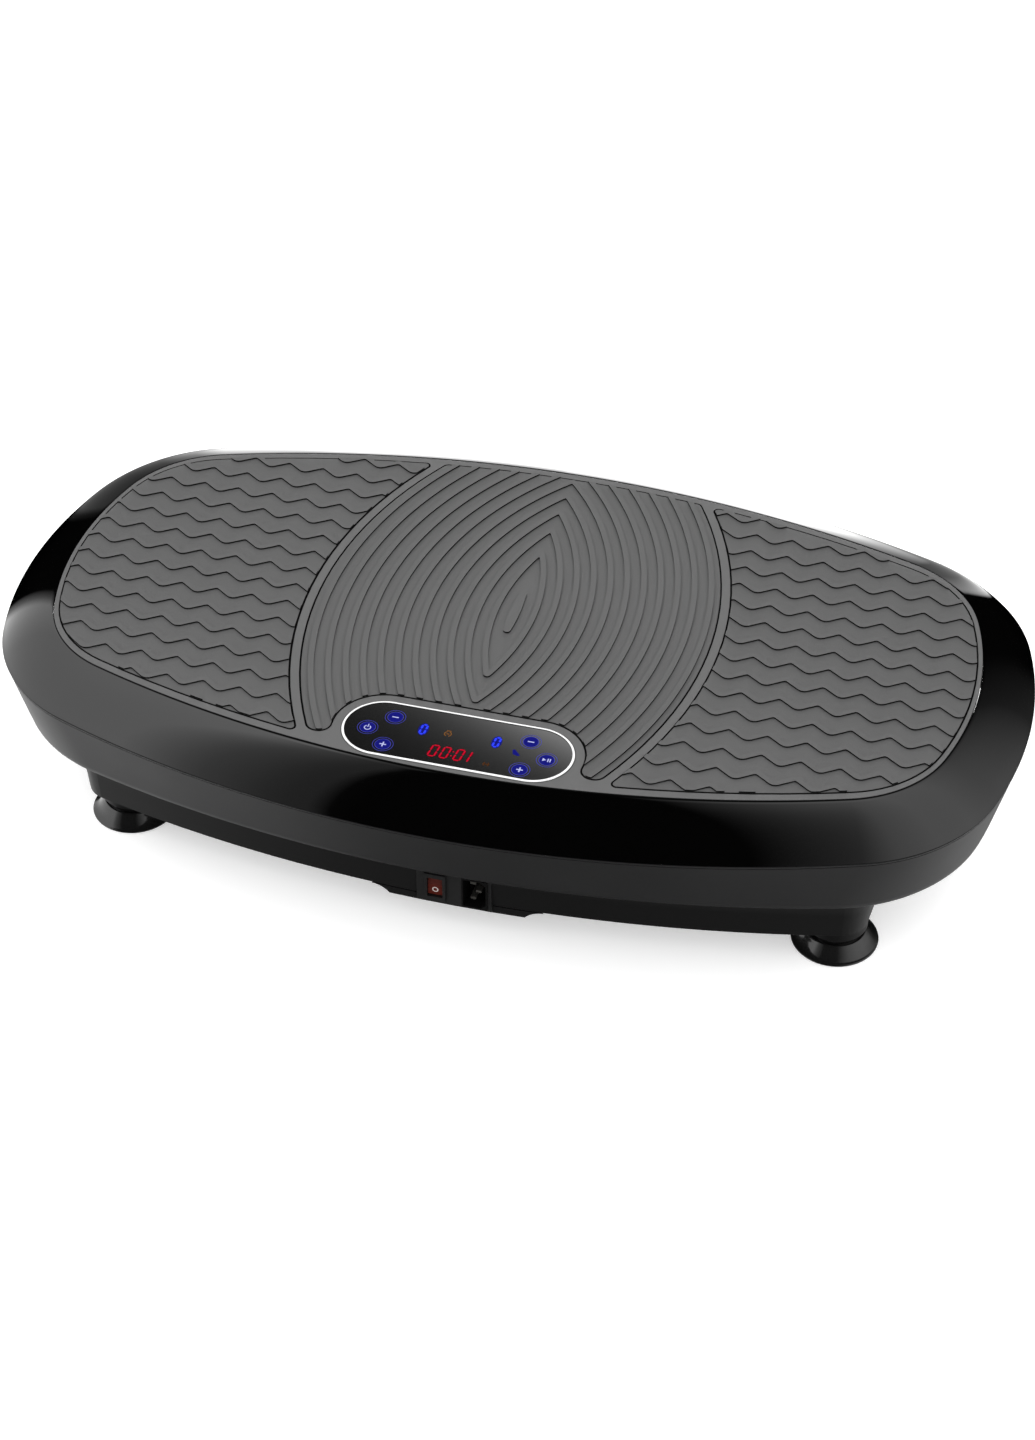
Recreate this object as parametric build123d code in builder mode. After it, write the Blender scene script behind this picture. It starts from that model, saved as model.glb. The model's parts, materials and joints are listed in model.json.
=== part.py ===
"""Vibration plate: a rocking deck on a floor-standing base.

Origin at the floor, midway between the feet. +X runs along the long side, -Y is the front with
the display and the power inlet, +Z is up. All lengths in millimetres.
"""
import os
from math import atan2, cos, hypot, radians, sin, sqrt

from build123d import *

# ---- overall -------------------------------------------------------------------------------
DECK_TOP = 154.0            # face of the mat
SEAM_Z = 130.0              # lower edge of the gloss cover, the widest outline
SKIRT_Z = 78.0              # lower edge of the skirt
BASE_Z = 34.0               # underside of the base housing

# outline = half length, half width, long-side radius, end radius, corner radius
MAT = (333.5, 178.5, 820.0, 262.0, 87.0)
SEAM = (372.5, 219.5, 815.0, 312.0, 125.0)
SKIRT = (359.5, 199.0, 970.0, 312.0, 121.0)
BASE = (292.0, 176.0, 1090.0, 1400.0, 20.0)

# ---- mat and display -----------------------------------------------------------------------
MAT_FLOOR_Z = 151.0         # cover surface under the mat
RIM_Z = 153.2               # top edge of the gloss rim, beside the mat
GROOVE_Z, GROOVE_W = 152.8, 1.2     # narrow groove round each of the three fields
BORDER = 6.0                # plain strip round the mat
ARC_X = 192.0               # the divider arcs are centred at x = -/+ this
ARC_IN, ARC_OUT = 336.0, 342.0
PANEL_Y = -146.0
PANEL_L, PANEL_W = 163.0, 57.0
BEZEL_W = 1.8
BEZEL_Z = 154.6
GLASS_Z = 154.2
SURROUND = 6.5
LOBE_Y = -161.0

# ---- base ----------------------------------------------------------------------------------
BASE_DRAFT = 4.0
BASE_GAP = 9.0              # between the base housing and the skirt's bottom flange
BASE_TOP = 86.0
WALL = 3.0
FLOOR_Z = BASE_Z + WALL
BOSS_X, BOSS_W, BOSS_Z, BOSS_BACK = 6.0, 98.0, 29.0, -105.0
FOOT_X, FOOT_Y, FOOT_R, CUP_R, CUP_Z, NECK_R = 262.5, 106.0, 31.0, 22.0, 11.0, 18.0
FOOT_BOSS_R, FOOT_BOSS_Z = 22.5, 16.0
STUD_R = 4.0

# ---- power entry ---------------------------------------------------------------------------
ENTRY_Z = 46.0
ENTRY_FACE = -178.0
ENTRY_X, ENTRY_W, ENTRY_H = 5.0, 54.0, 29.4
INLET_X, SWITCH_X = 20.0, -8.5
INLET_W, INLET_H, INLET_WALL, INLET_DEPTH = 18.4, 26.2, 1.0, 17.0
ROCKER_Y, ROCKER_R, ROCKER_W, ROCKER_FACE, ROCKER_TILT = ENTRY_FACE + 6.7, 10.0, 10.6, 6.2, 12.0

# ---- frames and mechanism ------------------------------------------------------------------
RAIL_Y, RAIL_W, RAIL_TOP = FOOT_Y, 30.0, 57.0
PLATE_T = 6.0
DECK_RAIL_Y, DECK_RAIL_Z, DECK_RAIL_H = 85.0, 118.0, 25.0
DECK_PLATE_Z, DECK_PLATE_T = 143.0, 5.0
TUBE = 2.0
PIVOT_Z, PIVOT_R, BEARING_R = 95.0, 10.0, 17.5
CRANK_X, CRANK_Z, CRANK_R, THROW = -152.5, 75.0, 8.0, 2.5
JOURNAL_R, ROD_TOP_Z, EYE_R, PIN_R = 12.0, 110.0, 14.0, 8.0
MOTOR_X, MOTOR_Z, MOTOR_R = -70.0, 89.0, 30.0
PULLEY_Y, PULLEY_W, BIG_R, SMALL_R, BELT_T = -68.0, 12.0, 26.0, 13.0, 2.0
VIB_X, VIB_Z, VIB_R = 160.0, 100.0, 28.0
RUN = 0.04                  # radial running clearance
SEAT = 0.02                 # radial clearance of a seated bearing


def corner(a, b, r1, r2):
    """Where the long-side arc and the end arc of an outline cross, in the first quadrant."""
    dx, dy = a - r2, r1 - b
    d = hypot(dx, dy)
    along = (d * d + r1 * r1 - r2 * r2) / (2 * d)
    side = sqrt(r1 * r1 - along * along)
    return (along * dx + side * dy) / d, b - r1 + (along * dy - side * dx) / d


def outline(shape, grow=0.0, mode=Mode.ADD):
    """Adds a barrel outline of four arcs with rounded corners to the current sketch."""
    a, b, r1, r2, r = (v + grow for v in shape)
    x, y = corner(a, b, r1, r2)
    with BuildSketch(mode=Mode.PRIVATE) as face:
        with BuildLine():
            ThreePointArc((x, -y), (a, 0), (x, y))
            ThreePointArc((x, y), (0, b), (-x, y))
            ThreePointArc((-x, y), (-a, 0), (-x, -y))
            ThreePointArc((-x, -y), (0, -b), (x, -y))
        make_face()
        fillet(face.vertices(), r)
    add(face.sketch, mode=mode)


def between(first, last, t):
    """Outline part way from one to another; the radii go by curvature."""
    mix = [p + (q - p) * t for p, q in zip(first, last)]
    mix[2] = 1 / (1 / first[2] + (1 / last[2] - 1 / first[2]) * t)
    mix[3] = 1 / (1 / first[3] + (1 / last[3] - 1 / first[3]) * t)
    return tuple(mix)


def rim(skin=0.0, drop=0.0, steps=5):
    """Sections of the convex rim from the seam up to the mat, inset by a skin: (outline, height).

    The inset goes from skin at the seam to a vertical drop at the mat.
    """
    run, rise = SEAM[0] - MAT[0] - 1.0, RIM_Z - SEAM_Z
    half, lean = radians(22), atan2(rise, run)
    radius = hypot(run, rise) / (2 * sin(half))
    low = lean + half
    skin_top = drop / cos(lean - half)
    sections = []
    for i in range(steps):
        turn = low - 2 * half * i / (steps - 1)
        r = radius - skin - (skin_top - skin) * i / (steps - 1)
        inset = radius * sin(low) - r * sin(turn)
        height = SEAM_Z + r * cos(turn) - radius * cos(low)
        sections.append((between(SEAM, MAT, inset / (SEAM[0] - MAT[0])), height))
    return sections


def side_field(side, inset):
    """Field at one end of the mat, between a divider arc and the border."""
    with BuildSketch() as face:
        outline(MAT, -BORDER - inset)
        with Locations((-side * ARC_X, 0)):
            Circle(ARC_OUT + inset, mode=Mode.SUBTRACT)
        fillet(face.vertices().sort_by(Axis.X)[::side][:2], 4 - inset)
    return face.sketch


def middle_field(inset):
    """Field between the dividers, with a lobe down each side of the display."""
    with BuildSketch() as face:
        outline(MAT, -BORDER - inset)
        for side in (-1, 1):
            with Locations((-side * ARC_X, 0)):
                Circle(ARC_IN - inset, mode=Mode.INTERSECT)
        with Locations((0, PANEL_Y)):
            SlotOverall(PANEL_L + 2 * (SURROUND + inset), PANEL_W + 2 * (SURROUND + inset), mode=Mode.SUBTRACT)
        with Locations((0, LOBE_Y + inset - 20)):
            Rectangle(300, 40, mode=Mode.SUBTRACT)
        fillet(face.vertices().group_by(Axis.Y)[0], 9 - inset)
        fillet(face.vertices().group_by(Axis.Y)[-1], 5)
    return face.sketch


def fields(inset):
    """The three fields."""
    return side_field(1, inset) + side_field(-1, inset) + middle_field(inset)


def posts(x, y, low, high, radius):
    """Round posts at the four points +/-x, +/-y."""
    with Locations((0, 0, (low + high) / 2)):
        with GridLocations(2 * x, 2 * y, 2, 2):
            Cylinder(radius, high - low)


def block(x0, x1, y0, y1, z0, z1, mode=Mode.ADD):
    """Box given by its two corners."""
    with Locations(((x0 + x1) / 2, (y0 + y1) / 2, (z0 + z1) / 2)):
        Box(x1 - x0, y1 - y0, z1 - z0, mode=mode)


def along_y(x, z, y0, y1, radius, mode=Mode.ADD):
    """Cylinder along Y."""
    with Locations(Location((x, (y0 + y1) / 2, z), (90, 0, 0))):
        Cylinder(radius, y1 - y0, mode=mode)


def tube(x0, x1, y0, y1, z0, z1, axis):
    """Rectangular tube along X or Y, open at its ends."""
    block(x0, x1, y0, y1, z0, z1)
    dx, dy = (5, -TUBE) if axis == "x" else (-TUBE, 5)
    block(x0 - dx, x1 + dx, y0 - dy, y1 + dy, z0 + TUBE, z1 - TUBE, mode=Mode.SUBTRACT)


def save(builder, name):
    builder.part.label = name
    export_step(builder.part, f"parts/{name}.step")


os.makedirs("parts", exist_ok=True)

# ---- deck: gloss cover ---------------------------------------------------------------------
with BuildPart() as top_cover:
    for shape, height in rim():
        with BuildSketch(Plane.XY.offset(height)):
            outline(shape)
    loft()
    with BuildSketch(Plane.XY.offset(MAT_FLOOR_Z)):
        outline(MAT, 0.4)
    extrude(amount=10, mode=Mode.SUBTRACT)
    for shape, height in rim(WALL, RIM_Z - DECK_PLATE_Z - DECK_PLATE_T - 0.01):
        with BuildSketch(Plane.XY.offset(height)):
            outline(shape)
    loft(mode=Mode.SUBTRACT)
    block(-56, 56, PANEL_Y - 18, PANEL_Y + 18, DECK_PLATE_Z, DECK_TOP, mode=Mode.SUBTRACT)
save(top_cover, "top_cover")

# ---- deck: skirt ---------------------------------------------------------------------------
SKIRT_TOP = tuple(v - 0.5 for v in SEAM)
with BuildPart() as skirt_ring:
    for shape, height in ((SKIRT, SKIRT_Z), (SKIRT_TOP, SEAM_Z - 0.6)):
        with BuildSketch(Plane.XY.offset(height)):
            outline(shape)
    loft()
    for shape, height in ((SKIRT, SKIRT_Z + WALL), (SKIRT_TOP, SEAM_Z - 0.6)):
        with BuildSketch(Plane.XY.offset(height)):
            outline(shape, -WALL)
    loft(mode=Mode.SUBTRACT)
    with BuildSketch(Plane.XY.offset(SKIRT_Z)):
        outline(BASE, BASE_DRAFT + BASE_GAP)
    extrude(amount=WALL, mode=Mode.SUBTRACT)
    with BuildSketch(Plane.XY.offset(SEAM_Z - 3.2)):
        outline(SEAM, 5)
        outline(SEAM, -1.9, mode=Mode.SUBTRACT)
    extrude(amount=0.6, mode=Mode.SUBTRACT)
save(skirt_ring, "skirt_ring")

# ---- deck: mat with three grooved fields ----------------------------------------------------
whole, inner = fields(0), fields(GROOVE_W)
with BuildPart() as rubber_mat:
    with BuildSketch(Plane.XY.offset(MAT_FLOOR_Z)):
        outline(MAT)
    extrude(amount=DECK_TOP - MAT_FLOOR_Z)
    chamfer(rubber_mat.faces().sort_by(Axis.Z)[-1].edges(), 0.6)
    with BuildSketch(Plane.XY.offset(MAT_FLOOR_Z)):
        with Locations((0, PANEL_Y)):
            SlotOverall(PANEL_L + 0.6, PANEL_W + 0.6)
    extrude(amount=10, mode=Mode.SUBTRACT)
    with BuildSketch(Plane.XY.offset(GROOVE_Z)):
        add(whole)
        add(inner, mode=Mode.SUBTRACT)
    extrude(amount=10, mode=Mode.SUBTRACT)
save(rubber_mat, "rubber_mat")

# ---- deck: display -------------------------------------------------------------------------
with BuildPart() as display_bezel:
    with BuildSketch(Plane.XY.offset(MAT_FLOOR_Z)):
        with Locations((0, PANEL_Y)):
            SlotOverall(PANEL_L, PANEL_W)
            SlotOverall(PANEL_L - 2 * BEZEL_W, PANEL_W - 2 * BEZEL_W, mode=Mode.SUBTRACT)
    extrude(amount=BEZEL_Z - MAT_FLOOR_Z)
    fillet(display_bezel.faces().sort_by(Axis.Z)[-1].outer_wire().edges(), 0.8)
save(display_bezel, "display_bezel")

with BuildPart() as display_glass:
    with BuildSketch(Plane.XY.offset(MAT_FLOOR_Z)):
        with Locations((0, PANEL_Y)):
            SlotOverall(PANEL_L - 2 * BEZEL_W - 0.2, PANEL_W - 2 * BEZEL_W - 0.2)
    extrude(amount=GLASS_Z - MAT_FLOOR_Z)
save(display_glass, "display_glass")

with BuildPart() as display_board:
    block(-68, 68, PANEL_Y - 18, PANEL_Y + 18, 143.4, 145.0)
save(display_board, "display_board")

with BuildPart() as display_spacers:
    with Locations((0, PANEL_Y, 0)):
        posts(60, 14, 145.0, 148.0, 2.5)
save(display_spacers, "display_spacers")

with BuildPart() as display_modules:
    block(-20, 20, PANEL_Y - 21 + 5, PANEL_Y - 2, 145.0, 150.6)
    for x in (-49, 49):
        for y in (-14, 12):
            with Locations((x, PANEL_Y + y * 0.75, 147.5)):
                Cylinder(3.5, 5.0)
save(display_modules, "display_modules")

# ---- deck: plate, frame and what carries it ------------------------------------------------
with BuildPart() as deck_plate:
    with BuildSketch(Plane.XY.offset(DECK_PLATE_Z)):
        outline(MAT, -11)
        with Locations((0, PANEL_Y - 28)):
            Rectangle(144, 100, mode=Mode.SUBTRACT)
    extrude(amount=DECK_PLATE_T)
save(deck_plate, "deck_plate")

with BuildPart() as deck_frame:
    for y in (-DECK_RAIL_Y, DECK_RAIL_Y):
        tube(-300, 300, y - 15, y + 15, DECK_RAIL_Z, DECK_PLATE_Z, "x")
    for x in (-285, 85, 285):
        tube(x - 15, x + 15, 15 - DECK_RAIL_Y, DECK_RAIL_Y - 15, DECK_RAIL_Z, DECK_PLATE_Z, "y")
save(deck_frame, "deck_frame")

with BuildPart() as pivot_lugs:
    for y in (-DECK_RAIL_Y, DECK_RAIL_Y):
        block(-24, 24, y - 6, y + 6, PIVOT_Z, DECK_RAIL_Z)
        along_y(0, PIVOT_Z, y - 6, y + 6, 22)
        along_y(0, PIVOT_Z, y - 6, y + 6, PIVOT_R + SEAT, mode=Mode.SUBTRACT)
save(pivot_lugs, "pivot_lugs")

with BuildPart() as pivot_shaft:
    along_y(0, PIVOT_Z, -95, 95, PIVOT_R)
    chamfer(pivot_shaft.edges().filter_by(GeomType.CIRCLE), 1)
save(pivot_shaft, "pivot_shaft")

with BuildPart() as rod_bracket:
    block(-180, -120, -24, 24, 137, DECK_PLATE_Z)
    for y in (-17, 17):
        block(-166, -134, y - 5, y + 5, ROD_TOP_Z - 16, 137)
        along_y(-150, ROD_TOP_Z, y - 5, y + 5, PIN_R + SEAT, mode=Mode.SUBTRACT)
save(rod_bracket, "rod_bracket")

with BuildPart() as rod_pin:
    along_y(-150, ROD_TOP_Z, -22, 22, PIN_R)
    along_y(-150, ROD_TOP_Z, 22.2, 24.2, PIN_R + 3)
    along_y(-150, ROD_TOP_Z, 22, 22.2, PIN_R - 1)
save(rod_pin, "rod_pin")

with BuildPart() as rod_bush:
    along_y(-150, ROD_TOP_Z, -7.5, 7.5, EYE_R - 0.02)
    along_y(-150, ROD_TOP_Z, -7.5, 7.5, PIN_R + 0.02, mode=Mode.SUBTRACT)
save(rod_bush, "rod_bush")

with BuildPart() as vibration_motor_housing:
    along_y(VIB_X, VIB_Z, -46, 46, VIB_R)
    fillet(vibration_motor_housing.edges().filter_by(GeomType.CIRCLE), 3)
    for i in range(12):
        if i not in (2, 3, 4):
            with Locations(Location((VIB_X, 0, VIB_Z), (0, 30 * i, 0))):
                with Locations((VIB_R, 0, 0)):
                    Box(3, 70, 2.4)
    along_y(VIB_X, VIB_Z, -40, 40, VIB_R - 3, mode=Mode.SUBTRACT)
    along_y(VIB_X, VIB_Z, -50, 50, 6 + RUN, mode=Mode.SUBTRACT)
save(vibration_motor_housing, "vibration_motor_housing")

with BuildPart() as vibration_motor_mount:
    block(VIB_X - 38, VIB_X + 38, -30, 30, 131, DECK_PLATE_Z)
    block(VIB_X - 30, VIB_X + 30, -28, -16, 98, 131)
    block(VIB_X - 30, VIB_X + 30, 16, 28, 98, 131)
    along_y(VIB_X, VIB_Z, -60, 60, VIB_R + 1.6, mode=Mode.SUBTRACT)
save(vibration_motor_mount, "vibration_motor_mount")

with BuildPart() as vibration_shaft:
    along_y(VIB_X, VIB_Z, -68, 68, 6)
save(vibration_shaft, "vibration_shaft")

with BuildPart() as eccentric_weights:
    for y0, y1 in ((-64, -50), (50, 64)):
        along_y(VIB_X, VIB_Z, y0, y1, 24)
        block(VIB_X - 30, VIB_X + 30, y0 - 1, y1 + 1, VIB_Z + 10, VIB_Z + 30, mode=Mode.SUBTRACT)
        along_y(VIB_X, VIB_Z, y0, y1, 11)
        along_y(VIB_X, VIB_Z, y0 - 1, y1 + 1, 6 + SEAT, mode=Mode.SUBTRACT)
save(eccentric_weights, "eccentric_weights")

with BuildPart() as deck_screws:
    posts(325, 60, SKIRT_Z + WALL, SKIRT_Z + WALL + 2, 4)
save(deck_screws, "deck_screws")

# ---- base: housing -------------------------------------------------------------------------
with BuildPart() as boss:
    with BuildSketch(Plane.XZ.offset(-BOSS_BACK)):
        left, right = BOSS_X - BOSS_W / 2, BOSS_X + BOSS_W / 2
        with BuildLine():
            Line((left, BOSS_Z), (right, BOSS_Z))
            ThreePointArc((right, BOSS_Z), (right + 5.8, BOSS_Z + 4.4), (right + 13, BASE_Z + 1))
            Line((right + 13, BASE_Z + 1), (left - 13, BASE_Z + 1))
            ThreePointArc((left - 13, BASE_Z + 1), (left - 5.8, BOSS_Z + 4.4), (left, BOSS_Z))
        make_face()
    extrude(amount=100)
    with BuildSketch(Plane.XY.offset(BOSS_Z)):
        outline(BASE)
    extrude(amount=10, mode=Mode.INTERSECT)

with BuildPart() as base_housing:
    for height, grow in ((BASE_Z, -2), (BASE_Z + 2, 0), (BASE_TOP, BASE_DRAFT)):
        with BuildSketch(Plane.XY.offset(height)):
            outline(BASE, grow)
    loft(ruled=True)
    add(boss.part)
    posts(FOOT_X, FOOT_Y, FOOT_BOSS_Z, BASE_Z + 1, FOOT_BOSS_R)
    for height, grow in ((FLOOR_Z, 0), (BASE_TOP, BASE_DRAFT)):
        with BuildSketch(Plane.XY.offset(height)):
            outline(BASE, grow - WALL)
    loft(mode=Mode.SUBTRACT)
    block(BOSS_X - 46, BOSS_X + 46, WALL + 1 - BASE[1], BOSS_BACK - WALL, BOSS_Z + 2, FLOOR_Z + 1, mode=Mode.SUBTRACT)
    block(ENTRY_X - ENTRY_W / 2 - 0.1, ENTRY_X + ENTRY_W / 2 + 0.1, -190, -163, ENTRY_Z - ENTRY_H / 2 - 0.1,
          ENTRY_Z + ENTRY_H / 2 + 0.1, mode=Mode.SUBTRACT)
    with GridLocations(2 * FOOT_X, 2 * FOOT_Y, 2, 2):
        Cylinder(STUD_R + 0.3, 100, mode=Mode.SUBTRACT)
    for x in (-150, 150):
        with BuildSketch(Plane.XY.offset(BASE_Z - 1)):
            with Locations((x, 0)):
                with GridLocations(12, 0, 9, 1):
                    SlotOverall(60, 4, rotation=90)
        extrude(amount=6, mode=Mode.SUBTRACT)
save(base_housing, "base_housing")

# ---- base: power entry ---------------------------------------------------------------------
with BuildPart() as power_panel:
    block(ENTRY_X - ENTRY_W / 2, ENTRY_X + ENTRY_W / 2, ENTRY_FACE, ENTRY_FACE + 6, ENTRY_Z - ENTRY_H / 2, ENTRY_Z + ENTRY_H / 2)
    block(SWITCH_X - 7.1, SWITCH_X + 7.1, -190, -150, ENTRY_Z - 11.1, ENTRY_Z + 11.1, mode=Mode.SUBTRACT)
    block(INLET_X - INLET_W / 2 - 0.1, INLET_X + INLET_W / 2 + 0.1, -190, -150,
          ENTRY_Z - INLET_H / 2 - 0.1, ENTRY_Z + INLET_H / 2 + 0.1, mode=Mode.SUBTRACT)
save(power_panel, "power_panel")

with BuildPart() as inlet_housing:
    block(INLET_X - INLET_W / 2, INLET_X + INLET_W / 2, ENTRY_FACE - 1, ENTRY_FACE + 21.5, ENTRY_Z - INLET_H / 2,
          ENTRY_Z + INLET_H / 2)
    mouth = INLET_W / 2 - INLET_WALL, INLET_H / 2 - INLET_WALL
    with BuildSketch(Plane.XZ.offset(1 - ENTRY_FACE)):
        with Locations((INLET_X, ENTRY_Z)):
            Rectangle(2 * mouth[0], 2 * mouth[1])
        chamfer(faces().vertices().group_by(Axis.X)[-1], 3.5)
    extrude(amount=-INLET_DEPTH, mode=Mode.SUBTRACT)
    for z, x in ((-7, -1.8), (7, -1.8), (0, 2.2)):
        block(INLET_X + x - 2.03, INLET_X + x + 2.03, ENTRY_FACE + 10, ENTRY_FACE + 30, ENTRY_Z + z - 1.03, ENTRY_Z + z + 1.03,
              mode=Mode.SUBTRACT)
save(inlet_housing, "inlet_housing")

with BuildPart() as inlet_pins:
    for z, x in ((-7, -1.8), (7, -1.8), (0, 2.2)):
        block(INLET_X + x - 2, INLET_X + x + 2, ENTRY_FACE + 3, ENTRY_FACE + 27.5, ENTRY_Z + z - 1, ENTRY_Z + z + 1)
save(inlet_pins, "inlet_pins")

with BuildPart() as switch_housing:
    block(SWITCH_X - 7, SWITCH_X + 7, ENTRY_FACE, ENTRY_FACE + 18.5, ENTRY_Z - 11, ENTRY_Z + 11)
    block(SWITCH_X - 7.6, SWITCH_X + 7.6, ENTRY_FACE - 1.5, ENTRY_FACE, ENTRY_Z - 12, ENTRY_Z + 12)
    with Locations(Location((SWITCH_X, ROCKER_Y, ENTRY_Z), (0, 90, 0))):
        Cylinder(ROCKER_R + 0.3, ROCKER_W + 0.6, mode=Mode.SUBTRACT)
    block(SWITCH_X - ROCKER_W / 2 - 0.3, SWITCH_X + ROCKER_W / 2 + 0.3, -185, ENTRY_FACE + 4.5,
          ENTRY_Z - 8.6, ENTRY_Z + 8.6, mode=Mode.SUBTRACT)
    with Locations(Location((SWITCH_X, ROCKER_Y, ENTRY_Z), (0, 90, 0))):
        Cylinder(1.5 + RUN, ROCKER_W + 2.6, mode=Mode.SUBTRACT)
save(switch_housing, "switch_housing")

with BuildPart() as power_rocker:
    with Locations(Location((SWITCH_X, ROCKER_Y, ENTRY_Z), (0, 90, 0))):
        Cylinder(ROCKER_R, ROCKER_W)
    for tilt in (0, 2 * ROCKER_TILT):
        with Locations(Location((SWITCH_X, ROCKER_Y, ENTRY_Z), (-tilt, 0, 0))):
            with Locations((0, -ROCKER_FACE - 10, 0)):
                Box(20, 20, 60, mode=Mode.SUBTRACT)
    block(SWITCH_X - 10, SWITCH_X + 10, ROCKER_Y + 4, ROCKER_Y + 20, ENTRY_Z - 20, ENTRY_Z + 20,
          mode=Mode.SUBTRACT)
    with Locations(Location((SWITCH_X, ROCKER_Y, ENTRY_Z), (0, 90, 0))):
        Cylinder(1.5, ROCKER_W + 2.4)
save(power_rocker, "power_rocker")

# ---- base: feet ----------------------------------------------------------------------------
for row, y in (("front", -FOOT_Y), ("rear", FOOT_Y)):
    for end, x in (("left", -FOOT_X), ("right", FOOT_X)):
        with BuildPart() as foot:
            with BuildSketch(Plane.XZ) as profile:
                bore = STUD_R + SEAT
                with BuildLine():
                    Line((0, 6.5), (0, 12))
                    Line((0, 12), (bore, 12))
                    Line((bore, 12), (bore, FOOT_BOSS_Z))
                    Line((bore, FOOT_BOSS_Z), (NECK_R, FOOT_BOSS_Z))
                    Line((NECK_R, FOOT_BOSS_Z), (NECK_R, CUP_Z - 1))
                    Line((NECK_R, CUP_Z - 1), (CUP_R - 1, CUP_Z))
                    ThreePointArc((CUP_R - 1, CUP_Z), (CUP_R, CUP_Z - 0.7), (CUP_R + 0.8, CUP_Z - 1.8))
                    ThreePointArc((CUP_R + 0.8, CUP_Z - 1.8), (26.0, 4.4), (FOOT_R, 1.0))
                    Line((FOOT_R, 1.0), (FOOT_R, 0))
                    Line((FOOT_R, 0), (FOOT_R - 5, 0))
                    ThreePointArc((FOOT_R - 5, 0), (13.6, 4.8), (0, 6.5))
                make_face()
            revolve(axis=Axis.Z)
        foot.part = Pos(x, y, 0) * foot.part
        foot.part.label = f"foot_{row}_{end}"
        export_step(foot.part, f"parts/foot_{row}_{end}.step")

with BuildPart() as foot_studs:
    posts(FOOT_X, FOOT_Y, 12.2, 60.0, STUD_R)
    with Locations((0, 0, RAIL_TOP + 3)):
        with GridLocations(2 * FOOT_X, 2 * FOOT_Y, 2, 2):
            Cylinder(7.5, 6)
save(foot_studs, "foot_studs")

# ---- base: chassis -------------------------------------------------------------------------
with BuildPart() as chassis_frame:
    for y in (-RAIL_Y, RAIL_Y):
        tube(-266, 266, y - RAIL_W / 2, y + RAIL_W / 2, FLOOR_Z, RAIL_TOP, "x")
    block(-262, 262, RAIL_W / 2 - RAIL_Y, RAIL_Y - RAIL_W / 2, RAIL_TOP - PLATE_T, RAIL_TOP)
    block(-186, -100, -82, -54, 40, 60, mode=Mode.SUBTRACT)
    block(-182, -120, -14, 14, 40, 60, mode=Mode.SUBTRACT)
    with Locations((0, 0, 50)):
        with GridLocations(2 * FOOT_X, 2 * FOOT_Y, 2, 2):
            Cylinder(STUD_R + 0.3, 60, mode=Mode.SUBTRACT)
save(chassis_frame, "chassis_frame")

with BuildPart() as pivot_pillow_blocks:
    for y in (-60, 60):
        block(-34, 34, y - 9, y + 9, RAIL_TOP, RAIL_TOP + 10)
        block(-24, 24, y - 9, y + 9, RAIL_TOP, PIVOT_Z)
        along_y(0, PIVOT_Z, y - 9, y + 9, 24)
        along_y(0, PIVOT_Z, y - 9, y + 9, BEARING_R + SEAT, mode=Mode.SUBTRACT)
save(pivot_pillow_blocks, "pivot_pillow_blocks")

with BuildPart() as pivot_bearings:
    for y in (-60, 60):
        along_y(0, PIVOT_Z, y - 7, y + 7, BEARING_R)
        along_y(0, PIVOT_Z, y - 7, y + 7, PIVOT_R + RUN, mode=Mode.SUBTRACT)
save(pivot_bearings, "pivot_bearings")

with BuildPart() as crank_bearing_blocks:
    for y in (-32, 32):
        block(CRANK_X - 26, CRANK_X + 26, y - 7, y + 7, RAIL_TOP, RAIL_TOP + 8)
        block(CRANK_X - 20, CRANK_X + 20, y - 7, y + 7, RAIL_TOP, CRANK_Z)
        along_y(CRANK_X, CRANK_Z, y - 7, y + 7, 20)
        block(CRANK_X - 30, CRANK_X + 30, y - 8, y + 8, RAIL_TOP - 10, RAIL_TOP, mode=Mode.SUBTRACT)
        along_y(CRANK_X, CRANK_Z, y - 8, y + 8, 15 + SEAT, mode=Mode.SUBTRACT)
save(crank_bearing_blocks, "crank_bearing_blocks")

with BuildPart() as crank_bearings:
    for y in (-32, 32):
        along_y(CRANK_X, CRANK_Z, y - 6, y + 6, 15)
        along_y(CRANK_X, CRANK_Z, y - 6, y + 6, CRANK_R + RUN, mode=Mode.SUBTRACT)
save(crank_bearings, "crank_bearings")

with BuildPart() as drive_motor_housing:
    along_y(MOTOR_X, MOTOR_Z, -46, 48, MOTOR_R)
    fillet(drive_motor_housing.edges().filter_by(GeomType.CIRCLE), 3)
    along_y(MOTOR_X, MOTOR_Z, -54, -46, 14)
    along_y(MOTOR_X, MOTOR_Z, -40, 42, MOTOR_R - 3, mode=Mode.SUBTRACT)
    along_y(MOTOR_X, MOTOR_Z, -60, 50, 5 + RUN, mode=Mode.SUBTRACT)
save(drive_motor_housing, "drive_motor_housing")

with BuildPart() as drive_motor_mount:
    for y in (-25, 25):
        block(MOTOR_X - 30, MOTOR_X + 30, y - 6, y + 6, RAIL_TOP, MOTOR_Z - 2)
    along_y(MOTOR_X, MOTOR_Z, -60, 60, MOTOR_R + 0.02, mode=Mode.SUBTRACT)
save(drive_motor_mount, "drive_motor_mount")

with BuildPart() as motor_shaft:
    along_y(MOTOR_X, MOTOR_Z, -76, 44, 5)
    along_y(MOTOR_X, MOTOR_Z, -30, 32, MOTOR_R - 9)
save(motor_shaft, "motor_shaft")


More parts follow.
